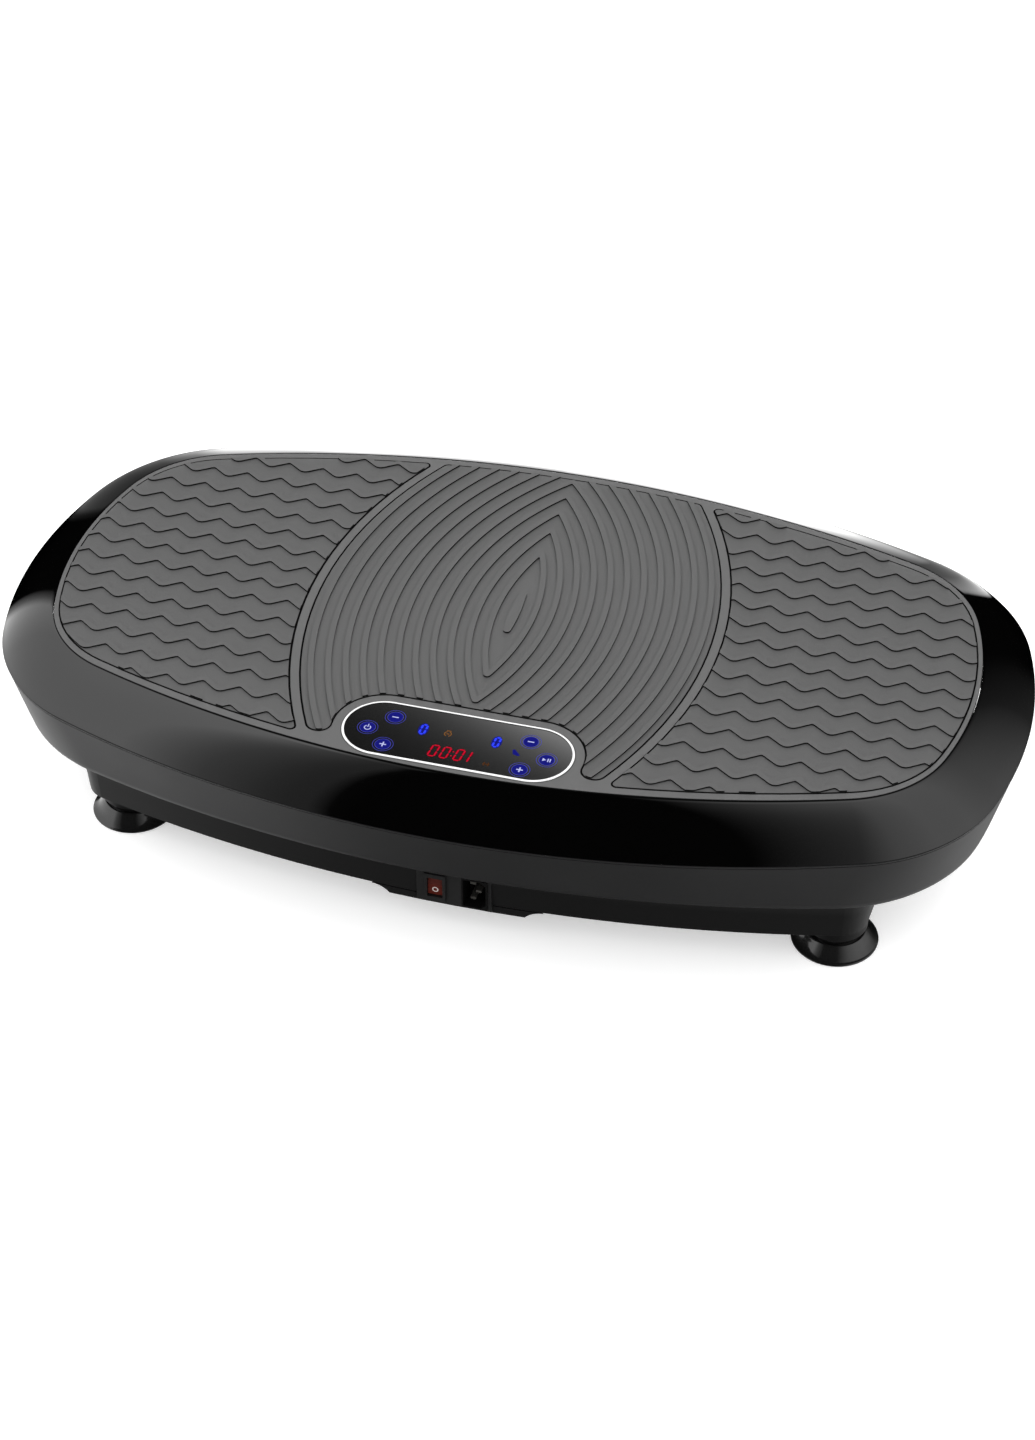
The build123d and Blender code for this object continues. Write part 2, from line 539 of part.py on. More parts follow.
def pulley(x, z, radius, bore):
    """Flanged belt pulley."""
    y0, y1 = PULLEY_Y - PULLEY_W / 2, PULLEY_Y + PULLEY_W / 2
    along_y(x, z, y0, y1, radius)
    along_y(x, z, y0 - 1, y0, radius + 3)
    along_y(x, z, y1, y1 + 1, radius + 3)
    along_y(x, z, y0 - 2, y1 + 2, bore + SEAT, mode=Mode.SUBTRACT)


with BuildPart() as motor_pulley:
    pulley(MOTOR_X, MOTOR_Z, SMALL_R, 5)
save(motor_pulley, "motor_pulley")

with BuildPart() as crank_pulley:
    pulley(CRANK_X, CRANK_Z, BIG_R, CRANK_R)
save(crank_pulley, "crank_pulley")

with BuildPart() as crankshaft:
    along_y(CRANK_X, CRANK_Z, -77, 42, CRANK_R)
    along_y(CRANK_X + THROW, CRANK_Z, -10, 10, JOURNAL_R)
save(crankshaft, "crankshaft")

with BuildPart() as connecting_rod:
    with BuildSketch(Plane.XZ.offset(-8)):
        with Locations((-150, CRANK_Z)):
            Circle(19)
        with Locations((-150, ROD_TOP_Z)):
            Circle(EYE_R + 5)
        make_hull()
        with Locations((-150, CRANK_Z)):
            Circle(JOURNAL_R + RUN, mode=Mode.SUBTRACT)
        with Locations((-150, ROD_TOP_Z)):
            Circle(EYE_R, mode=Mode.SUBTRACT)
    extrude(amount=16)
save(connecting_rod, "connecting_rod")

# The belt runs on both pulleys; its strands are the outer tangents.
with BuildPart() as drive_belt:
    span = hypot(MOTOR_X - CRANK_X, MOTOR_Z - CRANK_Z)
    for wide, mode in ((BELT_T + 0.05, Mode.ADD), (0.05, Mode.SUBTRACT)):
        with BuildSketch(Plane.XZ.offset(-PULLEY_Y - PULLEY_W / 2 + 1)):
            with Locations((CRANK_X, CRANK_Z)):
                Circle(BIG_R + wide)
            with Locations((MOTOR_X, MOTOR_Z)):
                Circle(SMALL_R + wide)
            make_hull()
        extrude(amount=PULLEY_W - 2, mode=mode)
save(drive_belt, "drive_belt")

# ---- base: electronics ---------------------------------------------------------------------
with BuildPart() as control_board:
    block(38, 122, -55, 55, 63, 64.6)
save(control_board, "control_board")

with BuildPart() as board_spacers:
    with Locations((80, 0, 0)):
        posts(36, 49, RAIL_TOP, 63, 3)
save(board_spacers, "board_spacers")

with BuildPart() as board_components:
    block(44, 70, -44, -22, 64.6, 84)
    block(78, 100, -46, -30, 64.6, 80)
    for x in (52, 68, 84):
        with Locations((x, -4, 75.6)):
            Cylinder(6, 22)
    block(46, 60, 18, 42, 64.6, 92)
    block(70, 84, 18, 42, 64.6, 92)
    block(100, 116, 0, 40, 64.6, 72)
save(board_components, "board_components")

with BuildPart() as power_supply:
    block(205, 255, -45, 45, RAIL_TOP, RAIL_TOP + 34)
save(power_supply, "power_supply")

with BuildPart() as buffer_seats:
    posts(215, 96, RAIL_TOP, 92, 10)
save(buffer_seats, "buffer_seats")

with BuildPart() as rubber_buffers:
    posts(215, 96, 92, 111, 13)
save(rubber_buffers, "rubber_buffers")

with BuildPart() as chassis_screws:
    posts(200, RAIL_Y, RAIL_TOP, RAIL_TOP + 3, 5)
save(chassis_screws, "chassis_screws")
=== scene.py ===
"""Looks of the vibration plate: gloss cover, satin skirt, ribbed mat, lit touch panel and feet."""

import json
from math import atan2, cos, hypot, pi, radians, sin, sqrt

import bmesh
import bpy
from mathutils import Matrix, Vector
from mathutils.geometry import delaunay_2d_cdt, tessellate_polygon


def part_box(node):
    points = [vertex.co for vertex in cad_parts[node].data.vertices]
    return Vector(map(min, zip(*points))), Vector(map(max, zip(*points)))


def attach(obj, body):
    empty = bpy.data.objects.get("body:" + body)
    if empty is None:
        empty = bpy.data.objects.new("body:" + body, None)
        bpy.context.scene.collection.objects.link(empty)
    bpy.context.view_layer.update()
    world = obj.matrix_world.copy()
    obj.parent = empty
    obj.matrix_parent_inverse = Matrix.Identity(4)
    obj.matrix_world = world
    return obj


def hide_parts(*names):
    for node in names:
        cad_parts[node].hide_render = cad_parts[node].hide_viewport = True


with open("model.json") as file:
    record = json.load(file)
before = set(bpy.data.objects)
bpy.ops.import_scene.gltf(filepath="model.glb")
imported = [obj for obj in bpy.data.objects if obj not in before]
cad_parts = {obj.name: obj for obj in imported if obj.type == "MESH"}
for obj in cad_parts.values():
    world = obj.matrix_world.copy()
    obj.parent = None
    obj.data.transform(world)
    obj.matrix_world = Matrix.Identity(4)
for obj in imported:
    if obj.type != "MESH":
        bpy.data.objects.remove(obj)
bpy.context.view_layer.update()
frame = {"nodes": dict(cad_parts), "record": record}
nodes = frame["nodes"]
scene = bpy.context.scene
MM = 0.001

# ---- sizes from the frame, in millimetres ---------------------------------------------------
_, mat_high = (tuple(v / MM for v in p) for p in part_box("rubber_mat"))
cover_low, cover_high = (tuple(v / MM for v in p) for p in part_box("top_cover"))
skirt_low, _ = (tuple(v / MM for v in p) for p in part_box("skirt_ring"))
panel_low, panel_high = (tuple(v / MM for v in p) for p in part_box("display_bezel"))
_, glass_high = (tuple(v / MM for v in p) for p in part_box("display_glass"))
MAT_TOP = mat_high[2]
PANEL_Y = (panel_low[1] + panel_high[1]) / 2
PANEL_L, PANEL_W = panel_high[0] - panel_low[0], panel_high[1] - panel_low[1]
GLASS_Z = glass_high[2]
# outline = half length, half width, long-side radius, end radius, corner radius
MAT = (mat_high[0], mat_high[1], 820.0, 262.0, 87.0)
SEAM = (cover_high[0], cover_high[1], 815.0, 312.0, 125.0)
SKIRT = (359.5, 199.0, 970.0, 312.0, 121.0)
SEAM_Z, RIM_Z, SKIRT_Z = cover_low[2], 153.2, skirt_low[2]
RECESS_Z = 151.2  # floor of the recess that the mat lies in
ARC_X = 192.0  # centres of the two divider arcs, left and right of the middle


# ---- camera ---------------------------------------------------------------------------------
def turned(azimuth, elevation):
    """Unit vector from the object towards a viewer at this azimuth and elevation."""
    a, e = radians(azimuth), radians(elevation)
    return Vector((sin(a) * cos(e), -cos(a) * cos(e), sin(e)))


camera = bpy.data.objects.new("camera", bpy.data.cameras.new("camera"))
scene.collection.objects.link(camera)
scene.camera = camera
camera.data.lens, camera.data.sensor_width = 71.54, 36.0
camera.data.clip_start, camera.data.clip_end = 0.1, 50.0
back = turned(15.29, 39.94)
camera.location = Vector((0.03357, -0.11474, 0.155)) + 1.9559 * back
camera.rotation_euler = (-back).to_track_quat("-Z", "Y").to_euler()
scene.view_settings.view_transform = "Standard"


# ---- outlines -------------------------------------------------------------------------------
def crossing(a, b, r1, r2):
    """Where the long-side arc and the end arc of an outline cross, in the first quadrant."""
    dx, dy = a - r2, r1 - b
    d = hypot(dx, dy)
    along = (d * d + r1 * r1 - r2 * r2) / (2 * d)
    side = sqrt(r1 * r1 - along * along)
    return (along * dx + side * dy) / d, b - r1 + (along * dy - side * dx) / d


def grown(shape, by):
    return tuple(v + by for v in shape)


def between(first, last, t):
    """Outline part way from one to another; the radii go by curvature."""
    mix = [p + (q - p) * t for p, q in zip(first, last)]
    mix[2] = 1 / (1 / first[2] + (1 / last[2] - 1 / first[2]) * t)
    mix[3] = 1 / (1 / first[3] + (1 / last[3] - 1 / first[3]) * t)
    return tuple(mix)


def outline(shape, ends=20, corners=22, sides=30):
    """Points round a barrel outline, anticlockwise from the middle of the right-hand end."""
    a, b, r1, r2, r = shape
    cx, cy = crossing(a - r, b - r, r1 - r, r2 - r)
    low = atan2(cy, cx - (a - r2))
    high = atan2(cy - (b - r1), cx)
    quarter = []
    for i in range(ends):
        t = low * i / ends
        quarter.append((a - r2 + r2 * cos(t), r2 * sin(t)))
    for i in range(corners):
        t = low + (high - low) * i / corners
        quarter.append((cx + r * cos(t), cy + r * sin(t)))
    for i in range(sides + 1):
        t = high + (pi / 2 - high) * i / sides
        quarter.append((r1 * cos(t), b - r1 + r1 * sin(t)))
    half = quarter + [(-x, y) for x, y in reversed(quarter[:-1])]
    return half + [(x, -y) for x, y in reversed(half[1:-1])]


# ---- meshes ---------------------------------------------------------------------------------
def piece(name, verts, faces, body, finish, smooth=True, sharp=40):
    """Mesh object from points in millimetres, riding on a body."""
    mesh = bpy.data.meshes.new(name)
    mesh.from_pydata([(x * MM, y * MM, z * MM) for x, y, z in verts], [], faces)
    mesh.validate()
    mesh.update()
    if smooth:
        mesh.polygons.foreach_set("use_smooth", [True] * len(mesh.polygons))
        mesh.set_sharp_from_angle(angle=radians(sharp))
    mesh.materials.append(finish)
    obj = bpy.data.objects.new(name, mesh)
    scene.collection.objects.link(obj)
    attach(obj, body)
    return obj


def rings(sections, closed=True):
    """Verts and quads between closed loops of equal length; closed also joins last to first."""
    n = len(sections[0])
    verts = [p for loop in sections for p in loop]
    faces = []
    last = len(sections) if closed else len(sections) - 1
    for i in range(last):
        j = (i + 1) % len(sections)
        for k in range(n):
            m = (k + 1) % n
            faces.append((i * n + k, i * n + m, j * n + m, j * n + k))
    return verts, faces


def lathe(profile, x, y, steps=96):
    """Verts and quads of a profile of (radius, height) turned about a vertical axis."""
    verts, faces = [], []
    for r, z in profile:
        for k in range(steps):
            t = 2 * pi * k / steps
            verts.append((x + r * cos(t), y + r * sin(t), z))
    for i in range(len(profile) - 1):
        for k in range(steps):
            m = (k + 1) % steps
            faces.append((i * steps + k, i * steps + m, (i + 1) * steps + m, (i + 1) * steps + k))
    return verts, faces


# ---- finishes -------------------------------------------------------------------------------
def finish(name, color, rough, metal=0.0, vary=0.08, grain=900.0, bump=0.0, specular=0.5,
           walls=None, bands=(), dull=0.02):
    """Moulded or machined surface: colour and roughness vary a little, with a fine grain.

    walls is painted shade: the colour given to its steep faces. Each band is (height, blur, colour), in
    millimetres, and is painted shade: everything under that height takes its colour. Where a surface is
    darkened by this painted shade, dull is what is left of its sheen.
    """
    mat = bpy.data.materials.new(name)
    mat.use_nodes = True
    tree = mat.node_tree
    link = tree.links.new
    bsdf = tree.nodes["Principled BSDF"]
    bsdf.inputs["Metallic"].default_value = metal
    bsdf.inputs["Specular IOR Level"].default_value = specular
    place = tree.nodes.new("ShaderNodeTexCoord").outputs["Object"]

    def noise(scale, detail):
        node = tree.nodes.new("ShaderNodeTexNoise")
        node.inputs["Scale"].default_value = scale
        node.inputs["Detail"].default_value = detail
        link(place, node.inputs["Vector"])
        return node.outputs["Fac"]

    def mapped(value, low, high):
        node = tree.nodes.new("ShaderNodeMapRange")
        node.inputs["From Min"].default_value, node.inputs["From Max"].default_value = 0.3, 0.7
        node.inputs["To Min"].default_value, node.inputs["To Max"].default_value = low, high
        link(value, node.inputs["Value"])
        return node.outputs["Result"]

    cloud = noise(9.0, 3.0)
    fine = noise(grain, 2.0)
    tone = tree.nodes.new("ShaderNodeMix")
    tone.data_type = "RGBA"
    tone.inputs["A"].default_value = (*[c * (1 - vary) for c in color], 1)
    tone.inputs["B"].default_value = (*[c * (1 + vary) for c in color], 1)
    link(mapped(cloud, 0.0, 1.0), tone.inputs["Factor"])
    shade = tone.outputs["Result"]
    shine = None

    def paint_shade(factor, to):
        """Painted shade: mixes the colour towards another by a factor, and takes the sheen away with it."""
        layer = tree.nodes.new("ShaderNodeMix")
        layer.data_type = "RGBA"
        link(factor, layer.inputs["Factor"])
        link(shade, layer.inputs["A"])
        layer.inputs["B"].default_value = (*to, 1)
        keep = tree.nodes.new("ShaderNodeMapRange")
        link(factor, keep.inputs["Value"])
        keep.inputs["To Min"].default_value, keep.inputs["To Max"].default_value = specular, dull
        least = keep.outputs["Result"]
        if shine is not None:
            node = tree.nodes.new("ShaderNodeMath")
            node.operation = "MINIMUM"
            link(shine, node.inputs[0])
            link(least, node.inputs[1])
            least = node.outputs[0]
        return layer.outputs["Result"], least

    split = tree.nodes.new("ShaderNodeSeparateXYZ")
    link(place, split.inputs["Vector"])
    # painted shade: everything under each band's height is darkened towards the band's colour and loses sheen
    for height, blur, below in bands:
        level = tree.nodes.new("ShaderNodeMapRange")
        level.inputs["From Min"].default_value = (height + blur) * MM
        level.inputs["From Max"].default_value = (height - blur) * MM
        link(split.outputs["Z"], level.inputs["Value"])
        shade, shine = paint_shade(level.outputs["Result"], below)
    # painted shade: steep faces are darkened towards the walls colour and lose sheen
    if walls is not None:
        normal = tree.nodes.new("ShaderNodeNewGeometry")
        facing = tree.nodes.new("ShaderNodeSeparateXYZ")
        link(normal.outputs["True Normal"], facing.inputs["Vector"])
        steep = tree.nodes.new("ShaderNodeMapRange")
        steep.inputs["From Min"].default_value, steep.inputs["From Max"].default_value = 0.85, 0.5
        link(facing.outputs["Z"], steep.inputs["Value"])
        shade, shine = paint_shade(steep.outputs["Result"], walls)
    if shine is not None:
        link(shine, bsdf.inputs["Specular IOR Level"])
    link(shade, bsdf.inputs["Base Color"])
    link(mapped(cloud, rough * 0.9, min(1.0, rough * 1.1)), bsdf.inputs["Roughness"])
    if bump:
        rise = tree.nodes.new("ShaderNodeBump")
        rise.inputs["Strength"].default_value = bump
        rise.inputs["Distance"].default_value = 0.0003
        link(fine, rise.inputs["Height"])
        link(rise.outputs["Normal"], bsdf.inputs["Normal"])
    return mat


def glow(name, color, strength):
    """Lit figure of the display: one colour, a little uneven, with no sheen."""
    mat = bpy.data.materials.new(name)
    mat.use_nodes = True
    tree = mat.node_tree
    bsdf = tree.nodes["Principled BSDF"]
    bsdf.inputs["Base Color"].default_value = (0.002, 0.002, 0.002, 1)
    bsdf.inputs["Roughness"].default_value = 0.25
    bsdf.inputs["Specular IOR Level"].default_value = 0.0
    bsdf.inputs["Emission Strength"].default_value = strength
    node = tree.nodes.new("ShaderNodeTexNoise")
    node.inputs["Scale"].default_value = 260.0
    tree.links.new(tree.nodes.new("ShaderNodeTexCoord").outputs["Object"], node.inputs["Vector"])
    tone = tree.nodes.new("ShaderNodeMix")
    tone.data_type = "RGBA"
    tone.inputs["A"].default_value = (*[c * 0.8 for c in color], 1)
    tone.inputs["B"].default_value = (*color, 1)
    tree.links.new(node.outputs["Fac"], tone.inputs["Factor"])
    tree.links.new(tone.outputs["Result"], bsdf.inputs["Emission Color"])
    return mat


gloss_black = finish("gloss_black", (0.0006, 0.0006, 0.0006), 0.03, vary=0.05, specular=0.5)
satin_black = finish("satin_black", (0.0145, 0.0145, 0.0147), 0.4, grain=1800, bump=0.05, specular=0.06)
# painted shade: the lower part of the base, below 59 mm, is darkened and loses some sheen
base_black = finish("base_black", (0.0095, 0.0095, 0.0095), 0.42, grain=1800, bump=0.08, specular=0.065,
                    bands=((59.0, 3.0, (0.0065, 0.0065, 0.0065)),), dull=0.058)
# painted shade on both mat finishes: steep faces such as rib walls are near black, and so is everything below
# 153.4 mm, the groove floors
mat_rubber = finish("mat_rubber", (0.064, 0.064, 0.064), 0.62, vary=0.05, grain=2400, bump=0.25,
                    walls=(0.005, 0.005, 0.005), bands=((153.4, 0.2, (0.002, 0.002, 0.002)),))
mat_border_rubber = finish("mat_border_rubber", (0.079, 0.079, 0.079), 0.62, vary=0.05, grain=2400, bump=0.25,
                           walls=(0.006, 0.006, 0.006), bands=((153.4, 0.2, (0.002, 0.002, 0.002)),))
foot_rubber = finish("foot_rubber", (0.006, 0.006, 0.006), 0.12, vary=0.1, grain=1500, bump=0.03)
# painted shade: the bezel's steep faces are darkened
bezel_silver = finish("bezel_silver", (0.72, 0.72, 0.72), 0.3, vary=0.04, grain=2500, bump=0.04,
                      walls=(0.05, 0.05, 0.05))
panel_glass = finish("panel_glass", (0.0055, 0.0055, 0.0055), 0.05, vary=0.05)
entry_black = finish("entry_black", (0.006, 0.006, 0.006), 0.45, vary=0.1, grain=1800, bump=0.08)
switch_red = finish("switch_red", (0.055, 0.008, 0.0045), 0.3, vary=0.1, specular=0.2)
pin_brass = finish("pin_brass", (0.5, 0.49, 0.45), 0.35, metal=1.0)
inlet_black = finish("inlet_black", (0.003, 0.003, 0.003), 0.5, vary=0.1, specular=0.1)
FAMILIES = {
    "steel": dict(rough=0.38, metal=1.0, vary=0.10, grain=700, bump=0.06),
    "rubber": dict(rough=0.75, vary=0.12, grain=1600, bump=0.25),
    "plastic": dict(rough=0.45, vary=0.10, grain=1600, bump=0.08),
}

shown = {
    "rubber_mat": mat_rubber, "display_bezel": bezel_silver, "display_glass": panel_glass,
    "base_housing": base_black, "power_panel": entry_black, "inlet_housing": inlet_black,
    "switch_housing": entry_black, "inlet_pins": pin_brass, "power_rocker": switch_red,
}
for row in frame["record"]["materials"]:
    name = row["slot"]
    node = nodes[name]
    kind = row["class"]
    if name in shown:
        mat = shown[name]
    else:
        family = FAMILIES.get("rubber" if kind in ("rubber", "foam") else "plastic" if "plastic" in kind
                              or kind in ("abs", "pcb", "polymer") else "steel")
        mat = finish("cad_" + name, tuple(row["base_color"][:3]), **family)
    node.data.materials.clear()
    node.data.materials.append(mat)
    if name != "base_housing":
        node.data.polygons.foreach_set("use_smooth", [True] * len(node.data.polygons))
        node.data.set_sharp_from_angle(angle=radians(32))


# ---- gloss cover and skirt ------------------------------------------------------------------
def cover_sections(steps=20):
    """Outer face of the convex rim from the seam up to the mat, as the CAD cover has it."""
    run, rise = SEAM[0] - MAT[0] - 1.0, RIM_Z - SEAM_Z
    half, lean = radians(22), atan2(rise, run)
    radius = hypot(run, rise) / (2 * sin(half))
    low = lean + half
    out = []
    for i in range(steps + 1):
        turn = low - 2 * half * i / steps
        inset = radius * (sin(low) - sin(turn))
        height = SEAM_Z + radius * (cos(turn) - cos(low))
        out.append((between(SEAM, MAT, inset / (SEAM[0] - MAT[0])), height))
    return out


def loops(sections):
    return [[(x, y, z) for x, y in outline(shape)] for shape, z in sections]


profile = [(grown(SEAM, -2.5), SEAM_Z + 0.1), (grown(SEAM, -0.9), SEAM_Z), (grown(SEAM, -0.35), SEAM_Z + 0.1),
           (grown(SEAM, -0.1), SEAM_Z + 0.4)]
profile += cover_sections()[1:-1]
profile += [(grown(MAT, 1.4), RIM_Z - 0.01), (grown(MAT, 0.5), RIM_Z), (grown(MAT, 0.42), RIM_Z - 0.1),
            (grown(MAT, 0.4), RIM_Z - 0.8), (grown(MAT, 0.4), RECESS_Z), (grown(MAT, 3.0), 149.0)]
profile += [(grown(SEAM, -12.0), 141.0), (grown(SEAM, -3.0), SEAM_Z + 1.5)]
verts, faces = rings(loops(profile))
cover = piece("cover_shell", verts, faces, "deck", gloss_black, sharp=50)
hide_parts("top_cover")

top = grown(SEAM, -0.5)


def skirt_at(z, by=0.0):
    t = (SEAM_Z - 0.6 - z) / (SEAM_Z - 0.6 - SKIRT_Z)
    return grown(between(top, SKIRT, t), by), z


GROOVE_TOP, GROOVE_LOW = SEAM_Z - 2.6, SEAM_Z - 3.2
profile = [skirt_at(SEAM_Z - 0.7, -3.0), skirt_at(SEAM_Z - 0.7, -0.5), skirt_at(SEAM_Z - 0.85, -0.15),
           skirt_at(SEAM_Z - 1.1), skirt_at(GROOVE_TOP + 0.15), skirt_at(GROOVE_TOP, -0.15),
           skirt_at(GROOVE_TOP, -1.4), skirt_at(GROOVE_LOW, -1.4), skirt_at(GROOVE_LOW, -0.15),
           skirt_at(GROOVE_LOW - 0.15)]
profile += [skirt_at(GROOVE_LOW - 0.15 + (SKIRT_Z + 1.5 - GROOVE_LOW + 0.15) * i / 12) for i in range(1, 13)]
profile += [(grown(SKIRT, -0.44), SKIRT_Z + 0.44), (grown(SKIRT, -1.5), SKIRT_Z),
            (grown(SKIRT, -12.0), SKIRT_Z), (grown(SKIRT, -12.0), SKIRT_Z + 3.0),
            skirt_at(SKIRT_Z + 3.0, -3.0)]
verts, faces = rings(loops(profile))
skirt = piece("skirt_shell", verts, faces, "deck", satin_black, sharp=50)
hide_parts("skirt_ring")

# ---- mat: border, three pads and their ribs -------------------------------------------------
RIB_TOP = MAT_TOP + 1.2
GROOVE_Z = 152.8
FIELD_EDGE = 140.0  # between the middle field and the end fields


def area_of(loop):
    return sum(loop[i - 1][0] * p[1] - p[0] * loop[i - 1][1] for i, p in enumerate(loop)) / 2


def groove_loops():
    """Closed outlines of the groove floors of the CAD mat: for each field, the outer and the inner one."""
    bm = bmesh.new()
    bm.from_mesh(nodes["rubber_mat"].data)
    bmesh.ops.remove_doubles(bm, verts=bm.verts, dist=1e-6)
    floors = {f for f in bm.faces if f.normal.z > 0.9 and abs(f.calc_center_median().z / MM - GROOVE_Z) < 0.05}
    edges = {e for f in floors for e in f.edges if sum(g in floors for g in e.link_faces) == 1}
    found = []
    while edges:
        first = edges.pop()
        path = [first.verts[0], first.verts[1]]
        while path[-1] != path[0]:
            step = next(e for e in path[-1].link_edges if e in edges)
            edges.remove(step)
            path.append(step.other_vert(path[-1]))
        loop = [(v.co.x / MM, v.co.y / MM) for v in path[:-1]]
        found.append(loop if area_of(loop) > 0 else loop[::-1])
    bm.free()
    fields = []
    for test in (lambda x: x < -FIELD_EDGE, lambda x: abs(x) <= FIELD_EDGE, lambda x: x > FIELD_EDGE):
        pair = [loop for loop in found if test(sum(p[0] for p in loop) / len(loop))]
        fields.append(sorted(pair, key=area_of, reverse=True))
    return fields


def fill(loops, z, verts, faces):
    """Flat face with holes: the first loop is the outside."""
    start = len(verts)
    points = [[Vector((x, y, 0)) for x, y in loop] for loop in loops]
    verts += [(p.x, p.y, z) for loop in points for p in loop]
    for a, b, c in tessellate_polygon(points):
        p, q, r = (Vector(verts[start + i]) for i in (a, b, c))
        turn = (q - p).cross(r - p).z
        faces.append((start + a, start + b, start + c) if turn > 0 else (start + a, start + c, start + b))


def wall(levels, verts, faces, flip=False):
    """Bands between loops of equal length, each given as (loop, height)."""
    start, n = len(verts), len(levels[0][0])
    for loop, z in levels:
        verts += [(x, y, z) for x, y in loop]
    for i in range(len(levels) - 1):
        for k in range(n):
            m = (k + 1) % n
            quad = (start + i * n + k, start + i * n + m, start + i * n + n + m, start + i * n + n + k)
            faces.append(quad[::-1] if flip else quad)


def inset(loop, by):
    """A loop moved inwards by a small distance."""
    out = []
    for i, (x, y) in enumerate(loop):
        (x0, y0), (x1, y1) = loop[i - 1], loop[(i + 1) % len(loop)]
        d = hypot(x1 - x0, y1 - y0)
        out.append((x - (y1 - y0) / d * by, y + (x1 - x0) / d * by))
    return out


def slot_loop(length, width, steps=32):
    reach, r = (length - width) / 2, width / 2
    turns = [pi * (i / steps - 0.5) for i in range(steps + 1)]
    right = [(reach + r * cos(t), PANEL_Y + r * sin(t)) for t in turns]
    return right + [(-x, 2 * PANEL_Y - y) for x, y in right]


BORDER, END_BORDER = 6.0, 3.0  # in CAD all round, and what is left of it here at the two ends
FIELD_X = (150.0, MAT[0] - BORDER)  # an end field is drawn out between these


def widened(loop):
    """An end field drawn out towards its end, where the border is narrower than at the front and back."""
    def shift(x):
        t = (abs(x) - FIELD_X[0]) / (FIELD_X[1] - FIELD_X[0])
        return (1 if x > 0 else -1) * END_BORDER * max(0.0, t)
    return [(x + shift(x), y) for x, y in loop]


fields = [[widened(loop) for loop in pair] for pair in groove_loops()]
# each pad sits a little off the middle of its recess, so its groove is wider at the front
PAD_SHIFT = ((-0.35, 0.35), (0.0, 0.35), (0.0, 0.35))
pads = [[(x + dx, y + dy) for x, y in inner] for (_, inner), (dx, dy) in zip(fields, PAD_SHIFT)]

verts, faces = [], []
edge = outline(grown(MAT, -0.5))
mouth = slot_loop(PANEL_L + 0.6, PANEL_W + 0.6)
fill([edge] + [outer for outer, _ in fields] + [mouth], MAT_TOP, verts, faces)
wall([(edge, MAT_TOP), (outline(grown(MAT, -0.15)), MAT_TOP - 0.15), (outline(MAT), MAT_TOP - 0.5),
      (outline(MAT), RECESS_Z)], verts, faces, flip=True)
wall([(mouth, MAT_TOP), (mouth, RECESS_Z)], verts, faces)
for outer, _ in fields:
    wall([(outer, MAT_TOP), (outer, GROOVE_Z)], verts, faces)
    fill([outer], GROOVE_Z, verts, faces)
border = piece("mat_border", verts, faces, "deck", mat_border_rubber, sharp=60)

verts, faces = [], []
for pad in pads:
    lip = inset(pad, 0.15)
    fill([lip], MAT_TOP, verts, faces)
    wall([(lip, MAT_TOP), (pad, MAT_TOP - 0.15), (pad, GROOVE_Z)], verts, faces, flip=True)
piece("mat_pads", verts, faces, "deck", mat_rubber, sharp=60)
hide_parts("rubber_mat")

WAVE, PITCH, SWING, RIB_W = 26.89, 20.43, 7.7, 4.0
WAVE_FROM, WAVE_STEP, WAVE_POINTS = 92.0, 0.5, 501
CREST = {-1: (-161.48, -8.17), 1: (148.28, -4.55)}  # front edge of one crest on each side
ROUND, SHARP = 0.94, 0.06  # shares of the plain wave and of its third harmonic
LEAF_HALF, RING_FIRST, RING_PITCH, RING_W, RINGS = 3.8, 11.9, 12.22, 4.2, 12
TIP_R, INNER_TIP_R, LEAF_Y, LEAF_POINTS = 2.6, 0.5, 1.0, 360
LEAF_FROM, LEAF_TO = -172, 178


def wave_band(side, row):
    """Outline of one wavy rib that runs past both ends of a side field."""
    crest_x, crest_y = CREST[side]
    near, far = [], []
    for i in range(WAVE_POINTS):
        x = side * (WAVE_FROM + i * WAVE_STEP)
        t = 2 * pi * (x - crest_x) / WAVE
        y = crest_y + RIB_W / 2 + PITCH * row + SWING / 2 * (ROUND * cos(t) + SHARP * cos(3 * t) - 1)
        slope = -SWING / 2 * (ROUND * sin(t) + 3 * SHARP * sin(3 * t)) * 2 * pi / WAVE
        d = hypot(1, slope)
        near.append((x + slope / d * RIB_W / 2, y - RIB_W / 2 / d))
        far.append((x - slope / d * RIB_W / 2, y + RIB_W / 2 / d))
    band = near + far[::-1]
    return band if area_of(band) > 0 else band[::-1]


def leaf(reach, tip, side, first, last):
    """Edge of a leaf on one side of x = 0 between two heights, its tips rounded."""
    r = ARC_X + reach
    middle = sqrt((r - tip) ** 2 - ARC_X ** 2)
    touch = middle * r / (r - tip)
    end = middle + tip
    out = []
    for i in range(LEAF_POINTS + 1):
        y = max(-end, first) + (min(end, last) - max(-end, first)) * i / LEAF_POINTS
        if abs(y) <= touch:
            x = sqrt(r * r - y * y) - ARC_X
        else:
            x = sqrt(max(tip * tip - (abs(y) - middle) ** 2, 0.0))
        out.append((side * max(x, 0.0), y + LEAF_Y))
    return out


def ring_band(inner, outer, side):
    """Outline of one half of a ring between two leaves; with no inner one, of a solid leaf."""
    out = leaf(outer, TIP_R, side, LEAF_FROM, LEAF_TO)
    if inner is None:
        band = out
    else:
        low, high = out[0][1] - LEAF_Y, out[-1][1] - LEAF_Y
        inside_edge = leaf(inner, INNER_TIP_R, side, low, high)
        band = out + inside_edge[::-1]
    clean = [p for i, p in enumerate(band) if hypot(p[0] - band[i - 1][0], p[1] - band[i - 1][1]) > 1e-4]
    return clean if area_of(clean) > 0 else clean[::-1]


